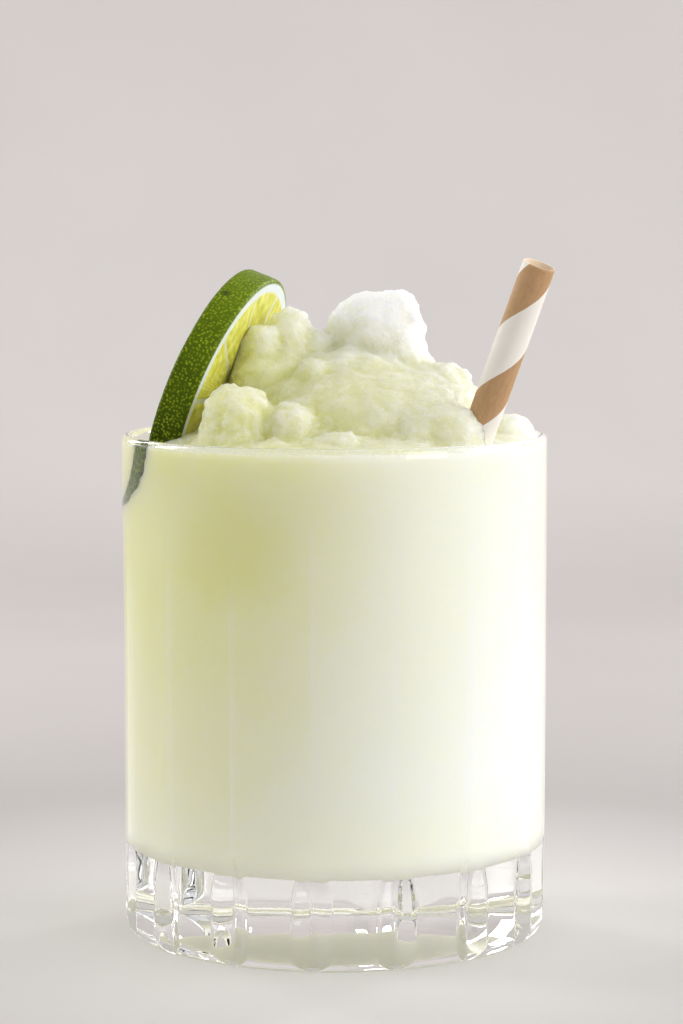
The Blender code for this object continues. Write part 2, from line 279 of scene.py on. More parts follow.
def put_points(mesh, points):
    mesh.vertices.foreach_set("co", points.astype(np.float32).ravel())
    mesh.update()


def distances(points):
    """How far each point is from the Z axis."""
    return np.hypot(points[:, 0], points[:, 1])


def angles_of(points):
    """The angle of each point round the tumbler, counted from the front to the right."""
    return np.arctan2(points[:, 0], -points[:, 1])


def fractal(points, size, octaves, seed):
    """Rough noise at each point, with features of about the given size."""
    offset = Vector((seed, seed * 1.7, seed * 0.3))
    out = np.empty(len(points))
    for i, point in enumerate(points):
        place = Vector(point) / size + offset
        out[i] = noise.fractal(place, 0.9, 2.1, octaves, noise_basis="PERLIN_ORIGINAL")
    return out


class Nodes:
    """Short ways to build the node tree of a material or a world."""

    def __init__(self, owner):
        owner.use_nodes = True
        self.owner = owner
        self.tree = owner.node_tree
        self.shader = self.tree.nodes.get("Principled BSDF")

    def add(self, kind, inputs=None, **settings):
        node = self.tree.nodes.new(kind)
        for key, value in settings.items():
            setattr(node, key, value)
        for key, value in (inputs or {}).items():
            if isinstance(value, bpy.types.NodeSocket):
                self.link(value, node.inputs[key])
            else:
                node.inputs[key].default_value = value
        return node

    def link(self, out, socket):
        self.tree.links.new(out, socket)

    def set(self, **values):
        for key, value in values.items():
            self.shader.inputs[key.replace("_", " ")].default_value = value

    def ramp(self, factor, stops):
        node = self.add("ShaderNodeValToRGB", {"Fac": factor})
        elements = node.color_ramp.elements
        while len(elements) < len(stops):
            elements.new(0.5)
        for element, (place, color) in zip(elements, stops):
            element.position = place
            element.color = color
        return node.outputs["Color"]

    def mix(self, factor, a, b):
        return self.add("ShaderNodeMix", {0: factor, 6: a, 7: b}, data_type="RGBA").outputs[2]

    def math(self, operation, a, b=0.0, c=0.0, clamp=False):
        node = self.add("ShaderNodeMath", {0: a, 1: b, 2: c}, operation=operation, use_clamp=clamp)
        return node.outputs[0]

    def vector_math(self, operation, a, b=(0.0, 0.0, 0.0)):
        node = self.add("ShaderNodeVectorMath", {0: a, 1: b}, operation=operation)
        return node.outputs["Value"]

    def noise(self, scale, vector, detail=3.0, roughness=0.5):
        inputs = {"Scale": scale, "Detail": detail, "Roughness": roughness, "Vector": vector}
        return self.add("ShaderNodeTexNoise", inputs).outputs["Fac"]

    def cells(self, scale, vector, randomness=1.0, dimensions="3D"):
        """Distance from the nearest of scattered points."""
        inputs = {"Scale": scale, "Vector": vector, "Randomness": randomness}
        node = self.add("ShaderNodeTexVoronoi", inputs, voronoi_dimensions=dimensions)
        return node.outputs["Distance"]

    def range(self, value, from_min, from_max, to_min=0.0, to_max=1.0):
        inputs = {"Value": value, "From Min": from_min, "From Max": from_max}
        inputs.update({"To Min": to_min, "To Max": to_max})
        return self.add("ShaderNodeMapRange", inputs).outputs["Result"]

    def bump(self, height, distance, strength, normal=None):
        inputs = {"Height": height, "Distance": distance, "Strength": strength}
        if normal is not None:
            inputs["Normal"] = normal
        return self.add("ShaderNodeBump", inputs).outputs["Normal"]

    def length(self, x, y):
        return self.math("SQRT", self.math("ADD", self.math("MULTIPLY", x, x), self.math("MULTIPLY", y, y)))

    def place(self):
        """The point's place in its piece's own axes, whole and as x, y and z."""
        whole = self.add("ShaderNodeTexCoord").outputs["Object"]
        split = self.add("ShaderNodeSeparateXYZ", {"Vector": whole})
        return whole, split.outputs["X"], split.outputs["Y"], split.outputs["Z"]


def material_nodes(name):
    return Nodes(bpy.data.materials.new(name))


# ---- Tumbler ----


def outer_radius(z):
    if z >= FOOT_FILLET:
        return GLASS_RADIUS
    drop = FOOT_FILLET - z
    return GLASS_RADIUS - FOOT_FILLET + math.sqrt(max(0.0, FOOT_FILLET**2 - drop**2))


def inner_radius(z):
    at_floor = GLASS_RADIUS - WALL_AT_FLOOR
    at_rim = GLASS_RADIUS - 2 * LIP_RADIUS
    share = (z - FLOOR_HEIGHT) / (GLASS_HEIGHT - LIP_RADIUS - FLOOR_HEIGHT)
    plain = at_floor + (at_rim - at_floor) * share
    drop = FLOOR_HEIGHT + FLOOR_FILLET - z
    if drop <= 0:
        return plain
    drop = min(drop, FLOOR_FILLET)
    return plain - FLOOR_FILLET + math.sqrt(FLOOR_FILLET**2 - drop**2)


def cut_depth(z):
    """Depth of the cuts: deep in the base, then a line that runs out up the wall."""
    line = CUT_LINE_DEPTH * min(1.0, max(0.0, (CUT_TOP - z) / (CUT_TOP - CUT_LINE_FROM)))
    deep = smoothstep((CUT_LINE_FROM - z) / (CUT_LINE_FROM - CUT_FULL_TO))
    return line + (CUT_DEPTH - CUT_LINE_DEPTH) * deep


def ring_angles(z):
    """(angle, offset along the arc from the nearest cut's bottom) all round the tumbler."""
    radius = outer_radius(z)
    depth = max(0.0, radius - (GLASS_RADIUS - cut_depth(z)))
    half = max(depth * CUT_SLOPE, LEAST_HALF_CUT)
    pitch = math.tau / CUTS
    for k in range(CUTS):
        middle = FRONT_CUT_ANGLE + k * pitch
        for station in CUT_STATIONS:
            offset = station * half
            yield middle + offset / radius, offset
        start = CUT_STATIONS[-1] * half / radius
        span = pitch - 2 * start
        for i in range(PANEL_POINTS):
            turn = start + span * (i + 1) / (PANEL_POINTS + 1)
            nearest = turn if turn < pitch / 2 else turn - pitch
            yield middle + turn, nearest * radius


def panel_radius(z, angle):
    """The outer radius between the cuts, where each panel is a little flatter than round."""
    pitch = math.tau / CUTS
    turn = (angle - FRONT_CUT_ANGLE) % pitch - pitch / 2
    flat = 1.0 - math.cos(pitch / 2) / math.cos(turn)
    fade = smoothstep((PLAIN_WALL_FROM - z) / 0.03) * smoothstep(z / FOOT_FILLET)
    return outer_radius(z) * (1.0 - PANEL_FLATNESS * flat * fade)


def soft_least(a, b, blend):
    """The smaller of two lengths, rounded where they meet."""
    share = min(max(0.5 + (b - a) / (2 * blend), 0.0), 1.0)
    return b + (a - b) * share - blend * share * (1.0 - share)


def outside_ring(z):
    """A ring of the outside, with its cuts and panels."""
    ring = []
    bottom = GLASS_RADIUS - cut_depth(z)
    worn = min(EDGE_WEAR, 0.3 * cut_depth(z) + 0.000001)
    for angle, offset in ring_angles(z):
        radius = panel_radius(z, angle)
        side = bottom + math.sqrt(offset**2 + (1.5 * worn) ** 2) / CUT_SLOPE
        ring.append(around(soft_least(radius, side, worn), angle, z))
    return ring


def plain_ring(radius, z):
    """A round ring, with its points spread as on the plain wall."""
    return [around(radius, angle, z) for angle, _ in ring_angles(PLAIN_WALL_FROM)]


def foot_ring(radius, z):
    """A round ring of the underside, with its points spread as on the lowest outside ring."""
    return [around(radius, angle, z) for angle, _ in ring_angles(0.0)]


def outside_heights():
    heights = [FOOT_FILLET * (1 - math.cos(turn)) for turn in quarter_turns(14)]
    heights += list(np.linspace(FOOT_FILLET, CUT_FULL_TO, 12)[1:])
    heights += list(np.linspace(CUT_FULL_TO, CUT_LINE_FROM + 0.002, 40)[1:])
    heights += list(np.linspace(CUT_LINE_FROM + 0.002, CUT_TOP, 22)[1:])
    lip_start = GLASS_HEIGHT - LIP_RADIUS
    return heights + [PLAIN_WALL_FROM, lip_start - 0.002, lip_start]


def build_tumbler():
    punt = GLASS_RADIUS - FOOT_FILLET - FOOT_RING_WIDTH
    rings = []
    for share in (0.25, 0.5, 0.7, 0.82, 0.9, 0.95, 0.98, 1.0):
        rings.append(foot_ring(punt * share, PUNT_DEPTH * (1.0 - share**2)))
    rings.append(foot_ring(punt + 0.0015, 0.0))
    rings += [outside_ring(z) for z in outside_heights()]
    lip_start = GLASS_HEIGHT - LIP_RADIUS
    lip_middle = GLASS_RADIUS - LIP_RADIUS
    for i in range(1, 12):
        turn = math.pi * i / 12
        radius = lip_middle + LIP_RADIUS * math.cos(turn)
        rings.append(plain_ring(radius, lip_start + LIP_RADIUS * math.sin(turn)))
    for z in np.linspace(lip_start, FLOOR_HEIGHT + FLOOR_FILLET, 14):
        rings.append(plain_ring(inner_radius(z), z))
    for turn in quarter_turns(10)[1:]:
        z = FLOOR_HEIGHT + FLOOR_FILLET * (1 - math.sin(turn))
        rings.append(plain_ring(inner_radius(z), z))
    for share in (0.75, 0.5, 0.25):
        rings.append(plain_ring(inner_radius(FLOOR_HEIGHT) * share, FLOOR_HEIGHT))
    low, high = Vector((0, 0, PUNT_DEPTH)), Vector((0, 0, FLOOR_HEIGHT))
    obj = object_of_rings("cut_glass_tumbler", rings, low=low, high=high)
    obj.data.set_sharp_from_angle(angle=math.radians(50))
    obj.data.materials.append(glass_material())
    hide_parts("tumbler")
    return obj


def glass_material():
    """Clear glass that lets light through to what it holds, with faint smears and waves."""
    n = material_nodes("clear_cut_glass")
    n.set(Base_Color=(1.0, 1.0, 1.0, 1.0), IOR=1.5, Transmission_Weight=1.0)
    place = n.add("ShaderNodeTexCoord").outputs["Object"]
    waves = n.noise(90.0, place, detail=1.0)
    smears = n.noise(260.0, place, detail=4.0, roughness=0.6)
    n.link(n.range(smears, 0.5, 0.8, 0.0, 0.035), n.shader.inputs["Roughness"])
    n.link(n.bump(waves, 0.00006, 0.35), n.shader.inputs["Normal"])
    path = n.add("ShaderNodeLightPath")
    through = n.math("MAXIMUM", path.outputs["Is Shadow Ray"], path.outputs["Is Diffuse Ray"])
    clear = n.add("ShaderNodeBsdfTransparent", {"Color": (0.97, 0.98, 0.97, 1.0)})
    mixed = n.add("ShaderNodeMixShader", {0: through, 1: n.shader.outputs[0], 2: clear.outputs[0]})
    n.link(mixed.outputs[0], n.tree.nodes["Material Output"].inputs["Surface"])
    return n.owner


# ---- Slush ----


def lump_height(x, y, centre, half):
    """Height of one lump: a squarish dome, with steep sides below its middle."""
    spread = math.hypot((x - centre[0]) / half[0], (y - centre[1]) / half[1])
    if spread < 1.0:
        power = LUMP_SQUARENESS
        return centre[2] + half[2] * (1.0 - spread**power) ** (1.0 / power)
    return centre[2] - (spread - 1.0) * half[0] * LUMP_SIDE_SLOPE


def blend_up(a, b, blend):
    """The greater of two heights, rounded where they meet."""
    share = min(max(0.5 + (a - b) / (2 * blend), 0.0), 1.0)
    return b + (a - b) * share + blend * share * (1.0 - share)


def slush_height(x, y, edge_radius):
    """Height of the slush's top: low at the wall, with a dip by the lime and all the lumps."""
    spread = min(1.0, math.hypot(x, y) / edge_radius)
    height = SLUSH_EDGE_HEIGHT + SLUSH_CROWN * (1.0 - spread**2)
    away = ((x - DIP[0]) / DIP_SIZE[0]) ** 2 + ((y - DIP[1]) / DIP_SIZE[1]) ** 2
    height -= DIP[2] * math.exp(-away)
    for centre, half, _, _ in LUMPS.values():
        height = blend_up(height, lump_height(x, y, centre, half), LUMP_BLEND * half[2])
    return height


def slush_core():
    """The whole body of slush as one closed mesh, before its ice grains."""
    edge_radius = inner_radius(SLUSH_EDGE_HEIGHT) + INTO_WALL
    bottom = FLOOR_HEIGHT - INTO_WALL
    angles = even_angles(200)
    side = [bottom + FLOOR_FILLET * (1 - math.cos(turn)) for turn in quarter_turns(10)]
    side += list(np.linspace(FLOOR_HEIGHT + FLOOR_FILLET, SLUSH_EDGE_HEIGHT, 30)[1:])
    rings = [[around(inner_radius(z) + INTO_WALL, a, z) for a in angles] for z in side]
    steps = 90
    for step in range(steps):
        radius = edge_radius * (1.0 - step / steps)
        ring = [around(radius, angle, 0.0) for angle in angles]
        for point in ring:
            point.z = slush_height(point.x, point.y, edge_radius)
        rings.append(ring)
    top = Vector((0, 0, slush_height(0, 0, edge_radius)))
    return object_of_rings("slush_core", rings, low=Vector((0, 0, bottom)), high=top)


def ice_grains():
    """Small rounded chips over the crumbly lumps, as one mesh that the slush is fused with."""
    draw = random.Random(12)
    bm = bmesh.new()
    edge = inner_radius(SLUSH_EDGE_HEIGHT) - 0.001
    for centre, half, _, crumbly in LUMPS.values():
        square_mm = half[0] * half[1] * 1e6
        for _ in range(int(square_mm * GRAIN_DENSITY * crumbly)):
            angle = draw.uniform(0, math.tau)
            up = draw.uniform(-0.15, 1.0)
            flat = math.sqrt(max(0.0, 1.0 - up * up))
            normal = Vector((flat * math.cos(angle), flat * math.sin(angle), up))
            point = Vector([centre[i] + half[i] * normal[i] * GRAIN_SEAT for i in range(3)])
            if math.hypot(point.x, point.y) > edge:
                continue
            size = draw.choice(GRAIN_SIZES) * draw.uniform(0.8, 1.2)
            shape = Matrix.Diagonal((
                size * draw.uniform(0.8, 1.5),
                size * draw.uniform(0.7, 1.1),
                size * draw.uniform(0.5, 0.9),
                1.0,
            ))
            axis = Vector((draw.uniform(-1, 1), draw.uniform(-1, 1), draw.uniform(-1, 1)))
            turn = Matrix.Rotation(draw.uniform(0, math.tau), 4, axis)
            made = bmesh.ops.create_icosphere(
                bm, subdivisions=1, radius=1.0, matrix=Matrix.Translation(point) @ turn @ shape
            )
            for corner in made["verts"]:
                corner.co += (corner.co - point) * draw.uniform(-0.2, 0.25)
    mesh = bpy.data.meshes.new("ice_grains")
    bm.to_mesh(mesh)
    bm.free()
    return new_object("ice_grains", mesh)


def lump_weights(points):
    """How icy and how crumbly the slush is at each point, from the lumps near it; the first carries the
    lumps' painted shade too.
    """
    ice = np.full(len(points), PLAIN_ICE) * PLAIN_WEIGHT
    crumb = np.full(len(points), PLAIN_CRUMB) * PLAIN_WEIGHT
    total = np.full(len(points), PLAIN_WEIGHT)
    for centre, half, icy, crumbly in LUMPS.values():
        offset = (points - np.array(centre)) / np.array(half)
        distance = np.linalg.norm(offset, axis=1) - 1.0
        weight = np.exp(-np.clip(distance, -0.3, 9.0) * LUMP_FALLOFF)
        ice += weight * icy
        crumb += weight * crumbly
        total += weight
    return ice / total, crumb / total


def wall_limit(heights):
    """The radius of the slush's side at each height."""
    table = np.linspace(FLOOR_HEIGHT - INTO_WALL, SLUSH_EDGE_HEIGHT + 0.003, 400)
    radii = np.array([inner_radius(z) for z in table]) + INTO_WALL
    return np.interp(heights, table, radii)


def roughen(points, normals, limit, crumb, free):
    """Pushes the heap's surface in and out, more where it is crumbly and less by the wall."""
    rough = fractal(points[free], 0.0034, 4, 3.1)
    fine = fractal(points[free], 0.0012, 3, 8.4)
    push = rough * (0.00032 + 0.0005 * crumb[free]) + fine * (0.0001 + 0.0002 * crumb[free])
    push *= np.clip((limit[free] - distances(points[free])) / 0.003, 0.0, 1.0)
    points[free] += normals[free] * push[:, None]


def set_against_wall(points, limit, in_glass):
    """Sets the slush's side at its limit by the wall, and lets nothing else reach past it."""
    radius = distances(points)
    side = in_glass & (radius > 0.02) & (points[:, 2] > FLOOR_HEIGHT + 0.0008)
    over = ~in_glass & (radius > limit)
    scale = np.where(side | over, limit / np.maximum(radius, 1e-6), 1.0)
    points[:, :2] *= scale[:, None]


def rind_slip(heights):
    """How far, in radians, the pressed rind slips round the wall towards the front."""
    return np.radians(1.0 + 6.5 * np.clip((0.0975 - heights) / 0.0095, 0.0, 1.0))


def rind_margin(reach, turned, heights):
    """How far below the wheel's +Z face its rind is met, going in from the wall, or -1."""
    margin = np.full(len(reach), -1.0)
    found = np.zeros(len(reach), dtype=bool)
    outside = np.ones(len(reach), dtype=bool)
    for inward in np.linspace(0.0, PRESSED_FROM, 70):
        at = reach - inward
        local = in_lime_axes(np.stack((at * np.sin(turned), -at * np.cos(turned), heights), axis=1))
        flat = distances(local)
        entered = (np.abs(local[:, 2]) < LIME_THICKNESS / 2) & (flat < LIME_RADIUS) & ~found
        through_rind = entered & outside
        margin[through_rind] = LIME_THICKNESS / 2 - local[through_rind, 2]
        found |= entered
        outside = flat >= LIME_RADIUS
    return margin


def open_for_lime(points, limit):
    """Draws the slush's side back from the wall where the lime's rind is pressed against it."""
    close = (distances(points) > limit - 0.0003) & (points[:, 0] < -0.02)
    close &= (points[:, 2] > 0.082) & (points[:, 2] < 0.0995)
    near = points[close]
    turned = angles_of(near) - rind_slip(near[:, 2])
    margin = rind_margin(limit[close], turned, near[:, 2])
    frost = 0.0003 + 0.0007 * np.clip(fractal(near, 0.0022, 3, 5.5) + 0.5, 0.0, 1.4)
    frost += 0.0034 * np.clip((0.0935 - near[:, 2]) / 0.008, 0.0, 1.0)
    share = np.clip((margin - frost) / 0.0004, 0.0, 1.0)
    share *= np.clip((LIME_THICKNESS - margin) / 0.0003, 0.0, 1.0)
    share *= np.clip((PRESSED_TO + limit[close] * np.cos(turned)) / 0.001, 0.0, 1.0)
    scale = 1.0 - share * OPENING_DEPTH / np.maximum(distances(near), 0.01)
    points[close, :2] *= scale[:, None]


def crests(mesh, normals):
    """From -1 in the hollows to 1 on the crests, for painted light that whitens the crests and painted
    shade that yellows the hollows.
    """
    softened = after_modifier(new_object("softened", mesh), "SMOOTH", factor=0.5, iterations=90)
    above = ((points_of(mesh) - points_of(softened)) * normals).sum(axis=1)
    return np.clip(above / 0.0006, -1.0, 1.0)


def build_slush():
    body = joined(slush_core(), ice_grains())
    whole = after_modifier(body, "REMESH", mode="VOXEL", voxel_size=SLUSH_VOXEL)
    mesh = after_modifier(new_object("slush_body", whole), "SMOOTH", factor=0.5, iterations=2)

    points = points_of(mesh)
    normals = vectors_of(mesh.vertex_normals, "vector")
    limit = wall_limit(points[:, 2])
    in_glass = (distances(points) > limit - 0.0006) & (points[:, 2] < SLUSH_EDGE_HEIGHT + 0.0005)
    in_glass |= points[:, 2] < FLOOR_HEIGHT + 0.006
    ice, crumb = lump_weights(points)
    roughen(points, normals, limit, crumb, ~in_glass)
    set_against_wall(points, limit, in_glass)
    open_for_lime(points, limit)
    put_points(mesh, points)

    # Painted light and shade: whiter crests and yellower hollows go into the ice attribute
    ice += PAINTED_CREST_LIGHT * crests(mesh, normals)
    values = np.where(in_glass, IN_GLASS_ICE, ice).astype(np.float32)
    mesh.attributes.new("ice", "FLOAT", "POINT").data.foreach_set("value", values)
    ratio = min(1.0, SLUSH_TRIANGLES / (len(mesh.polygons) * 2))
    final = after_modifier(new_object("slush_whole", mesh), "DECIMATE", ratio=ratio)
    final.shade_smooth()
    final.materials.clear()
    final.materials.append(slush_material("lime_slush_heap", heap=True))
    final.materials.append(slush_material("lime_slush_in_glass", heap=False))
    centres = vectors_of(final.polygons, "center")
    inside = distances(centres) > wall_limit(centres[:, 2]) - 0.0004
    inside &= centres[:, 2] < SLUSH_EDGE_HEIGHT
    inside |= centres[:, 2] < FLOOR_HEIGHT + 0.003
    final.polygons.foreach_set("material_index", inside.astype(np.int32))
    obj = new_object("frozen_gin_and_tonic", final)
    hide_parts("slush")
    return obj


def whiter_in_glass(n, x, y, z, amount):
    """How white the slush is behind the wall: painted light makes it whiter to the right, it is whiter
    lower down, and painted reflection changes it by panel.
    """
    # Painted light: whiter towards the right, where the lamps are
    amount = n.math("ADD", amount, n.range(x, -0.02, 0.032, -0.1, 0.46))
    amount = n.math("ADD", amount, n.range(z, 0.075, 0.02, -0.08, 0.22))
    # Painted reflection: a step of brightness for each panel, and painted highlights along the cut lines
    angle = n.math("ARCTAN2", x, n.math("MULTIPLY", y, -1.0))
    turns = n.math("DIVIDE", n.math("SUBTRACT", angle, FRONT_CUT_ANGLE), math.tau / CUTS)
    panel = {"W": n.math("FLOOR", turns)}
    tone = n.add("ShaderNodeTexWhiteNoise", panel, noise_dimensions="1D").outputs["Value"]
    line = n.math("ABSOLUTE", n.math("SUBTRACT", turns, n.math("ROUND", turns)))
    faint = n.math("MULTIPLY_ADD", n.range(line, 0.05, 0.0), 0.1, n.math("MULTIPLY", tone, 0.12))
    fade = n.range(z, CUT_TOP, CUT_TOP - 0.02)
    amount = n.math("MULTIPLY_ADD", n.math("SUBTRACT", faint, 0.06), fade, amount)
    # The lowest slush has melted to one even tone
    melted = n.range(z, 0.035, 0.023, 0.0, 0.6)
    return n.math("MULTIPLY_ADD", n.math("SUBTRACT", 0.42, amount), melted, amount)


def marked_by_wall(n, place, clouds, color, white):
    """A deeper yellow patch, streaks where the slush slid down the wall, and small bubbles against it."""
    from_yellow_patch = n.math("MULTIPLY_ADD", clouds, 0.008, n.vector_math("DISTANCE", place, DEEP_YELLOW_PATCH))
    color = n.mix(n.range(from_yellow_patch, 0.019, 0.008, 0.0, 0.36), color, srgb(226, 222, 128))
    stretched = n.add("ShaderNodeMapping", {"Vector": place, "Scale": (1.0, 1.0, 0.35)})
    streaks = n.noise(70.0, stretched.outputs[0], detail=5.0, roughness=0.55)
    color = n.mix(n.math("MULTIPLY", n.range(streaks, 0.42, 0.75), 0.12), color, white)
    spots = n.range(n.cells(620.0, place), 0.22, 0.1)
    rare = n.range(n.noise(60.0, place), 0.55, 0.7)
    return n.mix(n.math("MULTIPLY", n.math("MULTIPLY", spots, rare), 0.35), color, white)


def slush_material(name, heap):
    """Pale green ice: patchy and sparkling in the heap, smooth and even behind the wall."""
    n = material_nodes(name)
    place, x, y, z = n.place()
    ice = n.add("ShaderNodeAttribute", attribute_name="ice").outputs["Fac"]
    if heap:
        syrup, pale, white = srgb(225, 225, 160), srgb(227, 227, 203), srgb(246, 246, 243)
    else:
        syrup, pale, white = srgb(235, 234, 166), srgb(239, 239, 221), srgb(240, 241, 237)
    clouds = n.noise(110.0, place, detail=4.0, roughness=0.6)
    grain = n.noise(900.0, place, roughness=0.6)
    patchy = 0.55 if heap else 0.2
    amount = n.math("MULTIPLY_ADD", clouds, patchy, n.math("SUBTRACT", ice, patchy / 2))
    if heap:
        # Painted light: the heap is painted whiter towards the right, where the lamps are
        amount = n.math("ADD", amount, n.range(x, -0.004, 0.026, 0.0, 0.2))
    else:
        amount = whiter_in_glass(n, x, y, z, amount)
    amount = n.math("MULTIPLY_ADD", grain, 0.16, n.math("SUBTRACT", amount, 0.08), clamp=True)
    color = n.ramp(amount, [(0.0, syrup), (0.45, pale), (0.9, white)])
    if heap:
        fine = n.bump(grain, 0.0005, 0.7)
        n.link(n.bump(n.cells(1500.0, place), 0.0002, 0.6, fine), n.shader.inputs["Normal"])
        n.link(n.range(grain, 0.3, 0.7, 0.3, 0.55), n.shader.inputs["Roughness"])
        n.set(Specular_IOR_Level=0.3)
    else:
        color = marked_by_wall(n, place, clouds, color, white)
        n.set(Roughness=0.7, Specular_IOR_Level=0.0)
    n.link(color, n.shader.inputs["Base Color"])
    n.shader.subsurface_method = "RANDOM_WALK"
    n.set(IOR=1.31, Subsurface_Weight=1.0, Subsurface_Radius=(1.0, 0.97, 0.72))
    n.set(Subsurface_Scale=0.008)
    return n.owner


# ---- Lime wheel ----


def lime_matrix():
    face = Vector((
        math.cos(LIME_LEAN) * math.sin(LIME_TURN),
        -math.cos(LIME_LEAN) * math.cos(LIME_TURN),
        math.sin(LIME_LEAN),
    ))
    turned = face.to_track_quat("Z", "Y").to_matrix().to_4x4()
    return Matrix.Translation(LIME_CENTRE) @ turned @ Matrix.Rotation(LIME_SPIN, 4, "Z")


def in_lime_axes(points):
    """World points in the wheel's own axes, whose Z is the wheel's axis."""
    inverse = np.array(lime_matrix().inverted())
    return points @ inverse[:3, :3].T + inverse[:3, 3]


def lime_face_height(radius, angle):
    """Relief of a cut face: skins between segments, flesh swollen between them, a pith ring."""
    share = (angle / math.tau * LIME_SEGMENTS) % 1.0
    to_skin = min(share, 1.0 - share) * math.tau / LIME_SEGMENTS * radius
    swell = smoothstep((LIME_FLESH - radius) / 0.0012) * smoothstep((radius - LIME_CORE) / 0.001)
    skin = 1.0 - smoothstep(to_skin / 0.0005)
    groove = smoothstep(to_skin / 0.0011)
    sacs = noise.noise(Vector((angle * LIME_SEGMENTS * 1.7, radius * 420.0, 3.0)))
    flesh_height = -0.0003 + 0.00032 * groove + 0.00013 * sacs * groove
    return swell * (flesh_height * (1.0 - skin) - 0.00014 * skin)


def lime_face(side, angles):
    """The rings of one cut face, from near the middle to the rounded edge."""
    across = 84
    face = []
    for step in range(1, across + 1):
        radius = (LIME_RADIUS - LIME_EDGE_ROUND) * step / across
        ring = circle(radius, 0.0, angles)
        for angle, point in zip(angles, ring):
            point.z = side * (LIME_THICKNESS / 2 + lime_face_height(radius, angle + LIME_SPIN))
        face.append(ring)
    return face


def rounded_rind(angles):
    """The rings round the rind, from the edge of the -Z face to that of the +Z face."""
    flat_to = LIME_THICKNESS / 2 - LIME_EDGE_ROUND
    round_from = LIME_RADIUS - LIME_EDGE_ROUND
    lower, upper = [], []
    for turn in quarter_turns(6)[1:-1]:
        out, up = LIME_EDGE_ROUND * math.sin(turn), LIME_EDGE_ROUND * math.cos(turn)
        lower.append(circle(round_from + out, -flat_to - up, angles))
        upper.append(circle(round_from + up, flat_to + out, angles))
    return lower + [circle(LIME_RADIUS, z, angles) for z in np.linspace(-flat_to, flat_to, 16)] + upper


def pit_rind(rings):
    """Oil glands pit the skin, and its outline is never quite round."""
    for ring in rings:
        for point in ring:
            flat = math.hypot(point.x, point.y)
            if flat > LIME_RADIUS - 0.0012:
                pits = noise.noise(point * 1400.0) * 0.00005
                waves = noise.noise(point * 110.0) * 0.00022
                scale = 1.0 + (pits + waves - 0.0001) / flat
                point.x *= scale
                point.y *= scale


def build_lime():
    angles = even_angles(400)
    rings = lime_face(-1, angles) + rounded_rind(angles) + lime_face(1, angles)[::-1]
    pit_rind(rings)
    middle = Vector((0, 0, LIME_THICKNESS / 2 - 0.0002))
    obj = object_of_rings("lime_slice", rings, low=-middle, high=middle)
    obj.data.materials.append(lime_material())
    lean_on_wall(obj.data)
    obj.matrix_world = lime_matrix()
    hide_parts("lime_wheel")
    return obj


def lean_on_wall(mesh):
    """Presses the rind against the inside of the tumbler, where the wheel leans on it."""
    matrix = np.array(lime_matrix())
    points = points_of(mesh)
    placed = points @ matrix[:3, :3].T + matrix[:3, 3]
    radius = distances(placed)
    height = placed[:, 2]
    limit = wall_limit(height) - INTO_WALL + 0.0001
    near = np.clip((distances(points) - LIME_RADIUS + 0.0042) / 0.0028, 0.0, 1.0)
    near = near * near * (3.0 - 2.0 * near)
    near *= np.clip((radius - limit + PRESSED_FROM) / 0.0010, 0.0, 1.0)
    near *= np.clip((0.1002 - height) / 0.0012, 0.0, 1.0)
    near *= np.clip((height - PRESSED_LOW) / 0.0012, 0.0, 1.0)
    near *= np.clip((PRESSED_TO + 0.001 - placed[:, 1]) / 0.002, 0.0, 1.0)
    reach = radius + near * (limit - radius)
    angle = angles_of(placed) + near * rind_slip(height)
    placed[:, 0] = reach * np.sin(angle)
    placed[:, 1] = -reach * np.cos(angle)
    put_points(mesh, in_lime_axes(placed))


def rind_color(n, place, rise, wobble, patches, glands):
    """Dark green with painted light that makes it lighter upwards, with paler oil glands and one scar."""
    dark, bright, dot = srgb(40, 55, 0), srgb(98, 120, 2), srgb(158, 178, 36)
    # Painted light: the rind is painted lighter towards its top, mixed with random patches
    top_light_and_patches = n.range(rise, -0.018, 0.024)
    top_light_and_patches = n.math("MULTIPLY_ADD", patches, 0.6, n.math("SUBTRACT", top_light_and_patches, 0.3), clamp=True)
    dots = n.range(glands, 0.38, 0.14)
    strength = n.range(n.noise(700.0, place), 0.32, 0.68, 0.15, 0.95)
    rind = n.mix(n.math("MULTIPLY", dots, strength), n.mix(top_light_and_patches, dark, bright), dot)
    from_scar = n.math("MULTIPLY_ADD", wobble, 0.0014, n.vector_math("DISTANCE", place, SCAR))
    scarred = n.math("MULTIPLY", n.range(from_scar, 0.0021, 0.0013), 0.75)
    return n.mix(scarred, rind, srgb(38, 40, 6))


def flesh_color(n, radius, angle, polar, sacs, wobble, pith):
    """Radial sacs between pale skins, round a pale core."""
    turns = n.math("MULTIPLY", n.math("ADD", angle, LIME_SPIN), LIME_SEGMENTS / math.tau)
    share = n.math("FRACT", n.math("ADD", turns, 50.0))
    to_edge = n.math("MINIMUM", share, n.math("SUBTRACT", 1.0, share))
    arc = n.math("MULTIPLY", n.math("MULTIPLY", to_edge, math.tau / LIME_SEGMENTS), radius)
    faded = n.range(wobble, 0.35, 0.65, 0.35, 0.85)
    skin = n.math("MULTIPLY", n.range(arc, 0.0007, 0.0002), faded)
    flesh = n.mix(n.range(sacs, 0.0, 0.75), srgb(221, 218, 72), srgb(238, 236, 134))
    streaks = n.noise(3.0, polar, detail=4.0)
    flesh = n.mix(n.range(streaks, 0.35, 0.7, 0.0, 0.7), flesh, srgb(186, 184, 36))
    flesh = n.mix(skin, flesh, pith)
    return n.mix(n.range(radius, LIME_CORE + 0.0008, LIME_CORE), flesh, pith)


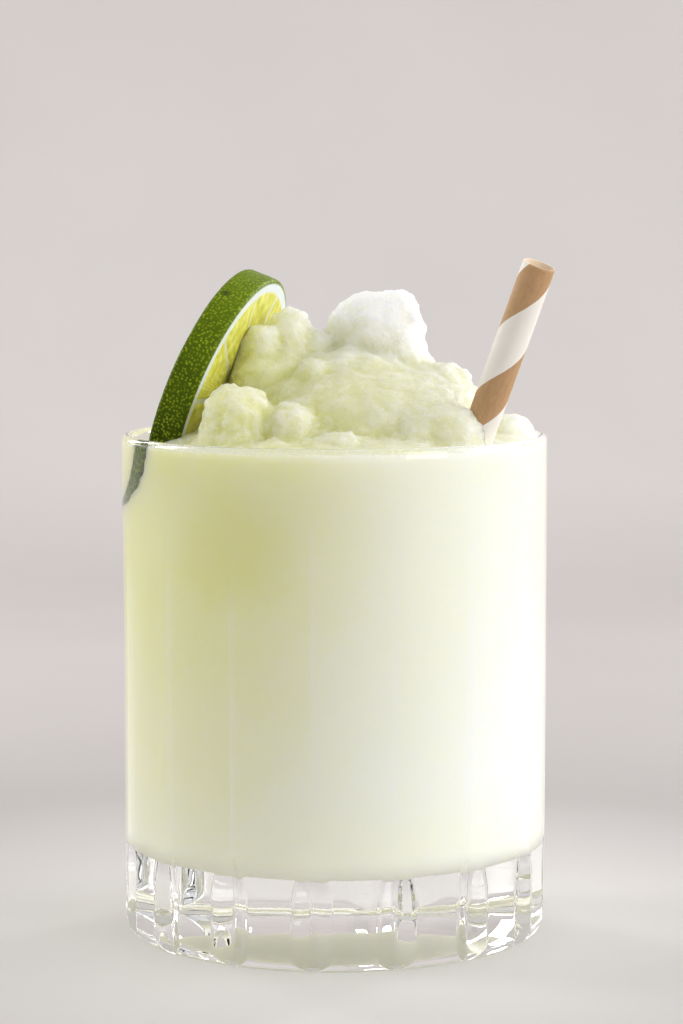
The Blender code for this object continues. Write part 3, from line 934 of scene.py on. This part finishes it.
def lime_material():
    n = material_nodes("lime_rind_and_flesh")
    place, x, y, z = n.place()
    radius = n.length(x, y)
    angle = n.math("ARCTAN2", y, x)
    wobble = n.noise(160.0, place, detail=2.0)
    patches = n.noise(90.0, place)
    up = lime_matrix().to_3x3().inverted() @ Vector((0, 0, 1))
    rise = n.vector_math("DOT_PRODUCT", place, tuple(up))

    along = n.math("MULTIPLY", angle, LIME_RADIUS)
    on_skin = n.add("ShaderNodeCombineXYZ", {"X": along, "Y": z}).outputs[0]
    glands = n.cells(1350.0, on_skin, randomness=0.85, dimensions="2D")
    rind = rind_color(n, place, rise, wobble, patches, glands)

    outward = n.math("MULTIPLY", radius, 150.0)
    polar = n.add("ShaderNodeCombineXYZ", {"X": n.math("MULTIPLY", angle, 5.2), "Y": outward}).outputs[0]
    sacs = n.cells(1.9, polar)
    pith = srgb(226, 232, 236)
    flesh = flesh_color(n, radius, angle, polar, sacs, wobble, pith)

    wavy = n.math("MULTIPLY_ADD", wobble, 0.0007, n.math("SUBTRACT", radius, 0.00035))
    face = n.mix(n.range(wavy, LIME_FLESH - 0.0003, LIME_FLESH + 0.0003), flesh, pith)
    peel = LIME_RADIUS - LIME_PEEL
    color = n.mix(n.range(radius, peel - 0.0003, peel + 0.0001), face, rind)
    # Frost and slush smeared over what is below the rim
    below = n.range(rise, 0.0990 - LIME_CENTRE.z, 0.0975 - LIME_CENTRE.z)
    smear = n.noise(420.0, place, detail=4.0, roughness=0.6)
    frosted = n.math("MULTIPLY", below, n.range(smear, 0.35, 0.75, 0.12, 0.5))
    n.link(n.mix(frosted, color, srgb(150, 164, 118)), n.shader.inputs["Base Color"])

    pits = n.bump(glands, 0.00016, 0.5)
    relief = n.math("MULTIPLY", sacs, n.range(radius, LIME_FLESH, LIME_FLESH - 0.001))
    n.link(n.bump(relief, 0.0003, 0.5, pits), n.shader.inputs["Normal"])
    n.link(n.range(patches, 0.3, 0.7, 0.28, 0.48), n.shader.inputs["Roughness"])
    n.set(IOR=1.42, Specular_IOR_Level=0.14, Subsurface_Weight=0.35)
    n.set(Subsurface_Radius=(0.8, 1.0, 0.25), Subsurface_Scale=0.0016)
    return n.owner


# ---- Straw ----


def straw_matrix():
    turned = STRAW_DIRECTION.to_track_quat("Z", "Y").to_matrix().to_4x4()
    return Matrix.Translation(STRAW_AT_RIM) @ turned


def straw_front():
    """The angle round the straw's own axis that faces the front."""
    local = straw_matrix().to_3x3().inverted() @ Vector((0, -1, 0))
    return math.atan2(local.y, local.x)


def stripe_way(front):
    """Which way the stripe winds round the straw's own axis, 1 or -1."""
    right = straw_matrix().to_3x3().inverted() @ Vector((1, 0, 0))
    winding = math.atan2(right.y, right.x) - front
    winding = (winding + math.pi) % math.tau - math.pi
    return 1.0 if winding > 0 else -1.0


def wound_ring(z, angles, front, way):
    """A ring of the outside, with the small step where the wound paper overlaps."""
    ring = []
    for angle in angles:
        turn = (angle - front) * way / math.tau
        phase = ((STRAW_ABOVE - z) / STRIPE_PITCH + turn) % 0.5
        radius = STRAW_RADIUS - STRAW_SEAM * (1.0 - smoothstep(phase / 0.06))
        ring.append(Vector((radius * math.cos(angle), radius * math.sin(angle), z)))
    return ring


def build_straw():
    angles = even_angles(64)
    front = straw_front()
    way = stripe_way(front)
    heights = np.linspace(-STRAW_BELOW, STRAW_ABOVE - 0.0001, 230)
    rings = [wound_ring(z, angles, front, way) for z in heights]
    inner = STRAW_RADIUS - STRAW_WALL
    for radius, z in (
        (STRAW_RADIUS - 0.00006, STRAW_ABOVE - 0.00003),
        (STRAW_RADIUS - 0.00013, STRAW_ABOVE),
        (inner + 0.00008, STRAW_ABOVE),
        (inner, STRAW_ABOVE - 0.00008),
        (inner, 0.0),
        (inner, -STRAW_BELOW),
    ):
        rings.append(circle(radius, z, angles))
    obj = object_of_rings("striped_paper_straw", rings, closed=True)
    obj.data.set_sharp_from_angle(angle=math.radians(50))
    obj.data.materials.append(straw_material(front, way))
    obj.matrix_world = straw_matrix()
    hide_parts("straw")
    return obj


def straw_material(front, way):
    """White paper with a kraft brown spiral, plain paper inside."""
    n = material_nodes("spiral_striped_paper")
    place, x, y, z = n.place()
    angle = n.math("ARCTAN2", y, x)
    turn = n.math("MULTIPLY", n.math("SUBTRACT", angle, front), way / math.tau)
    down = n.math("DIVIDE", n.math("SUBTRACT", STRAW_ABOVE - STRIPE_FIRST, z), STRIPE_PITCH)
    ragged = n.noise(900.0, place, detail=2.0)
    phase = n.math("MULTIPLY_ADD", ragged, 0.008, n.math("ADD", down, turn))
    phase = n.math("FRACT", n.math("ADD", phase, 20.0))
    edge = 0.006
    share = STRIPE_WHITE / STRIPE_PITCH
    white = n.math("MULTIPLY", n.range(phase, 0.0, edge), n.range(phase, share + edge, share))
    fibres = n.add("ShaderNodeMapping", {"Vector": place, "Scale": (1.0, 1.0, 0.3)}).outputs[0]
    pulp = n.noise(1500.0, fibres, detail=5.0, roughness=0.65)
    kraft = n.mix(pulp, srgb(165, 127, 87), srgb(207, 167, 122))
    specks = n.noise(3200.0, place, detail=2.0)
    kraft = n.mix(n.range(specks, 0.62, 0.75, 0.0, 0.4), kraft, srgb(128, 92, 58))
    paper = n.mix(pulp, srgb(235, 229, 219), srgb(248, 242, 233))
    color = n.mix(white, kraft, paper)
    inside = n.range(n.length(x, y), STRAW_RADIUS - 0.00012, STRAW_RADIUS - 0.0002)
    n.link(n.mix(inside, color, srgb(226, 206, 180)), n.shader.inputs["Base Color"])
    n.link(n.range(pulp, 0.3, 0.7, 0.62, 0.8), n.shader.inputs["Roughness"])
    n.link(n.bump(pulp, 0.00006, 0.4), n.shader.inputs["Normal"])
    n.set(Subsurface_Weight=0.15, Subsurface_Radius=(1.0, 0.8, 0.6), Subsurface_Scale=0.0008)
    return n.owner


# ---- Stage, light and camera ----


def build_stage():
    """A pale floor that sweeps up into a plain backdrop."""
    profile = [(STAGE_FRONT, 0.0), (-0.5, 0.0), (0.0, 0.0), (FLOOR_BACK, 0.0)]
    bend = WALL_BACK - FLOOR_BACK
    for turn in quarter_turns(16)[1:]:
        profile.append((FLOOR_BACK + bend * math.sin(turn), bend * (1 - math.cos(turn))))
    profile.append((WALL_BACK, STAGE_HEIGHT))
    points, faces = [], []
    for y, z in profile:
        points += [(-STAGE_HALF_WIDTH, y, z), (STAGE_HALF_WIDTH, y, z)]
    for i in range(len(profile) - 1):
        a = 2 * i
        faces.append((a, a + 1, a + 3, a + 2))
    mesh = bpy.data.meshes.new("backdrop")
    mesh.from_pydata(points, [], faces)
    mesh.shade_smooth()
    mesh.materials.append(backdrop_material())
    new_object("backdrop", mesh)


def backdrop_material():
    """Faintly mottled: a pale floor, lighter round the glass, and a paler wall."""
    n = material_nodes("pale_backdrop")
    place, _, y, _ = n.place()
    mottle = n.range(n.noise(5.0, place), 0.3, 0.7)
    floor = n.mix(mottle, srgb(176, 171, 169), srgb(182, 177, 175))
    reach = n.vector_math("LENGTH", place)
    floor = n.mix(n.range(reach, 0.15, 0.05), floor, srgb(212, 209, 206))
    wall = n.mix(mottle, srgb(225, 219, 216), srgb(231, 225, 222))
    n.link(n.mix(n.range(y, 0.15, 0.7), floor, wall), n.shader.inputs["Base Color"])
    n.set(Roughness=0.55)
    return n.owner


def area_light(name, place, size, power, spread):
    data = bpy.data.lights.new(name, "AREA")
    data.shape = "RECTANGLE"
    data.size, data.size_y = size
    data.energy = power
    data.spread = math.radians(spread)
    obj = bpy.data.objects.new(name, data)
    obj.location = place
    aim = LIGHTS_AIM - Vector(place)
    obj.rotation_euler = aim.to_track_quat("-Z", "Y").to_euler()
    bpy.context.scene.collection.objects.link(obj)


def build_light():
    """A soft room that is brighter to the right, with a few area lights."""
    world = bpy.data.worlds.new("studio")
    n = Nodes(world)
    direction = n.add("ShaderNodeTexCoord").outputs["Generated"]
    side = n.vector_math("DOT_PRODUCT", direction, (0.82, 0.05, 0.2))
    panels = n.noise(2.2, direction, detail=1.0)
    bright = n.range(n.math("MULTIPLY_ADD", panels, 1.6, side), -0.3, 1.9, 0.44, 0.9)
    background = n.tree.nodes["Background"]
    background.inputs["Color"].default_value = (0.985, 0.985, 1.0, 1.0)
    n.link(bright, background.inputs["Strength"])
    bpy.context.scene.world = world
    for name, light in LIGHTS.items():
        area_light(name, *light)


def build_camera():
    data = bpy.data.cameras.new("camera")
    data.lens = CAMERA_LENS
    data.sensor_width = 36.0
    obj = bpy.data.objects.new("camera", data)
    obj.location = CAMERA_PLACE
    obj.rotation_euler = (math.pi / 2 - CAMERA_DOWN, 0.0, 0.0)
    bpy.context.scene.collection.objects.link(obj)
    bpy.context.scene.camera = obj


build_camera()
build_stage()
build_light()
for piece in (build_tumbler(), build_slush(), build_lime(), build_straw()):
    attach(piece, "root")

view = bpy.context.scene.view_settings
view.view_transform = "Standard"
view.look = "None"
view.exposure = 0.0
